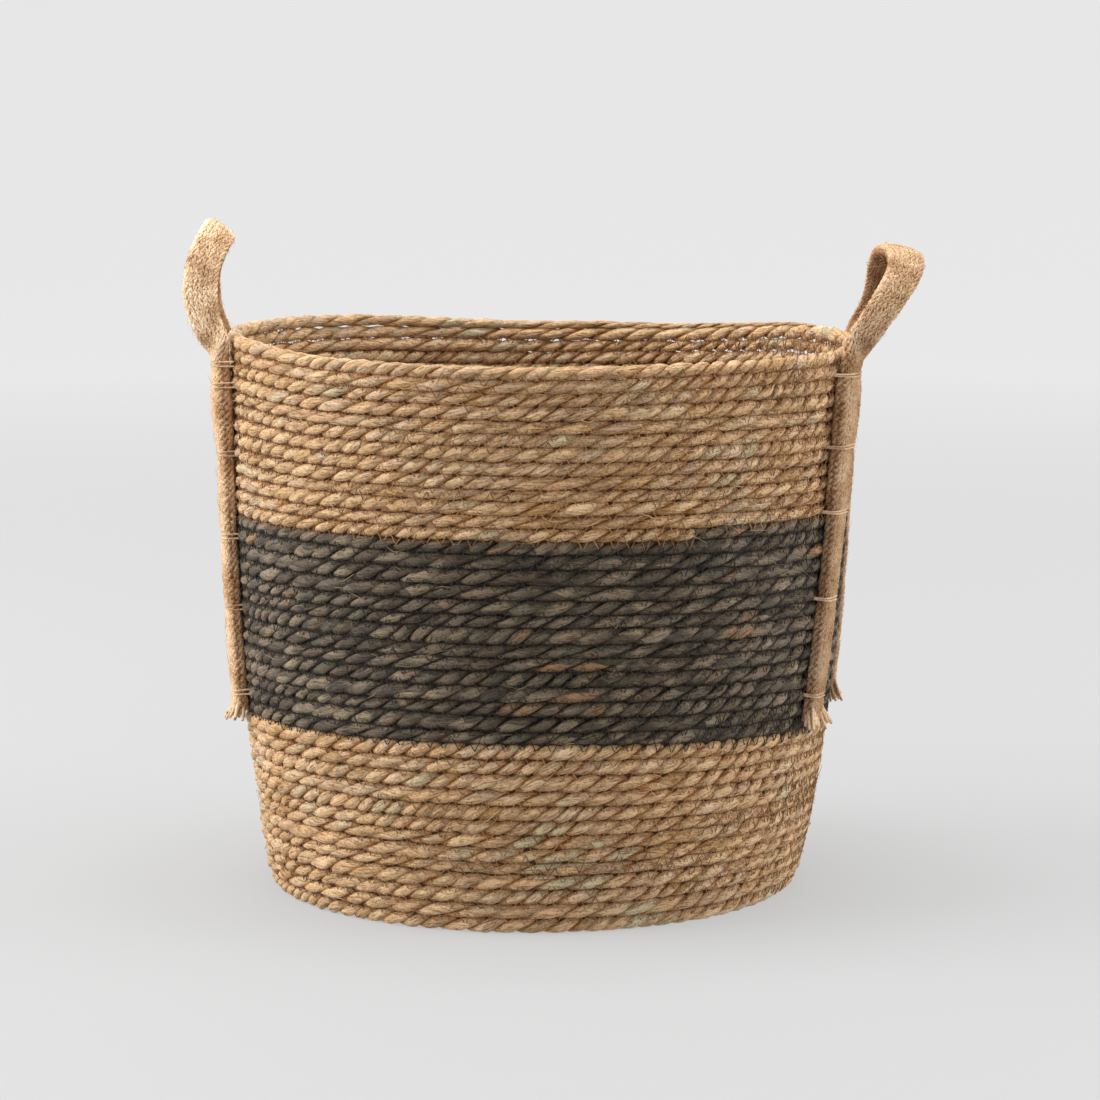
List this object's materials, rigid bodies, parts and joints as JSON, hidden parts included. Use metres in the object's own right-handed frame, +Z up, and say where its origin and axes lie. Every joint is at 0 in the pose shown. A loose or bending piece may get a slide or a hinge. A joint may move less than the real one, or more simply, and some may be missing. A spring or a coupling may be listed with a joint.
{
  "type": "storage basket",
  "caption": "Round open storage basket of coiled, sewn seagrass rope with a dark middle band and two jute strap handles whose loops fold about the rim.",
  "frame": {"origin": "centre of the base, on the floor", "axes": "+Z up; +X towards the right handle; -Y is the front"},
  "size_m": [0.4715, 0.3996, 0.4223],
  "materials": {
    "natural_rope": "dry twisted seagrass, matte with a faint waxy sheen",
    "charcoal_rope": "dyed twisted seagrass, matte with a faint waxy sheen",
    "jute_strap": "flat braided jute, matte and hairy",
    "tie_twine": "thin twisted jute twine, matte"
  },
  "bodies": {
    "basket": {"base_coil": "natural_rope", "lower_wall": "natural_rope", "charcoal_band": "charcoal_rope", "upper_wall": "natural_rope", "rim_course": "natural_rope", "left_front_leg": "jute_strap", "left_front_tie_1": "tie_twine", "left_front_tie_2": "tie_twine", "left_front_tie_3": "tie_twine", "left_front_tie_4": "tie_twine", "left_front_tie_5": "tie_twine", "left_back_leg": "jute_strap", "left_back_tie_1": "tie_twine", "left_back_tie_2": "tie_twine", "left_back_tie_3": "tie_twine", "left_back_tie_4": "tie_twine", "left_back_tie_5": "tie_twine", "right_front_leg": "jute_strap", "right_front_tie_1": "tie_twine", "right_front_tie_2": "tie_twine", "right_front_tie_3": "tie_twine", "right_front_tie_4": "tie_twine", "right_front_tie_5": "tie_twine", "right_back_leg": "jute_strap", "right_back_tie_1": "tie_twine", "right_back_tie_2": "tie_twine", "right_back_tie_3": "tie_twine", "right_back_tie_4": "tie_twine", "right_back_tie_5": "tie_twine"},
    "left_handle": {"left_handle_loop": "jute_strap"},
    "right_handle": {"right_handle_loop": "jute_strap"}
  },
  "joints": [
    {"name": "left_handle_fold", "type": "hinge", "parent": "basket", "child": "left_handle", "pos_m": [-0.19693, -0.02048, 0.346], "axis": [0.1002, -0.995, 0], "range_deg": [-60, 50]},
    {"name": "right_handle_fold", "type": "hinge", "parent": "basket", "child": "right_handle", "pos_m": [0.20387, -0.00862, 0.346], "axis": [0.0436, 0.999, 0], "range_deg": [-60, 50]}
  ]
}
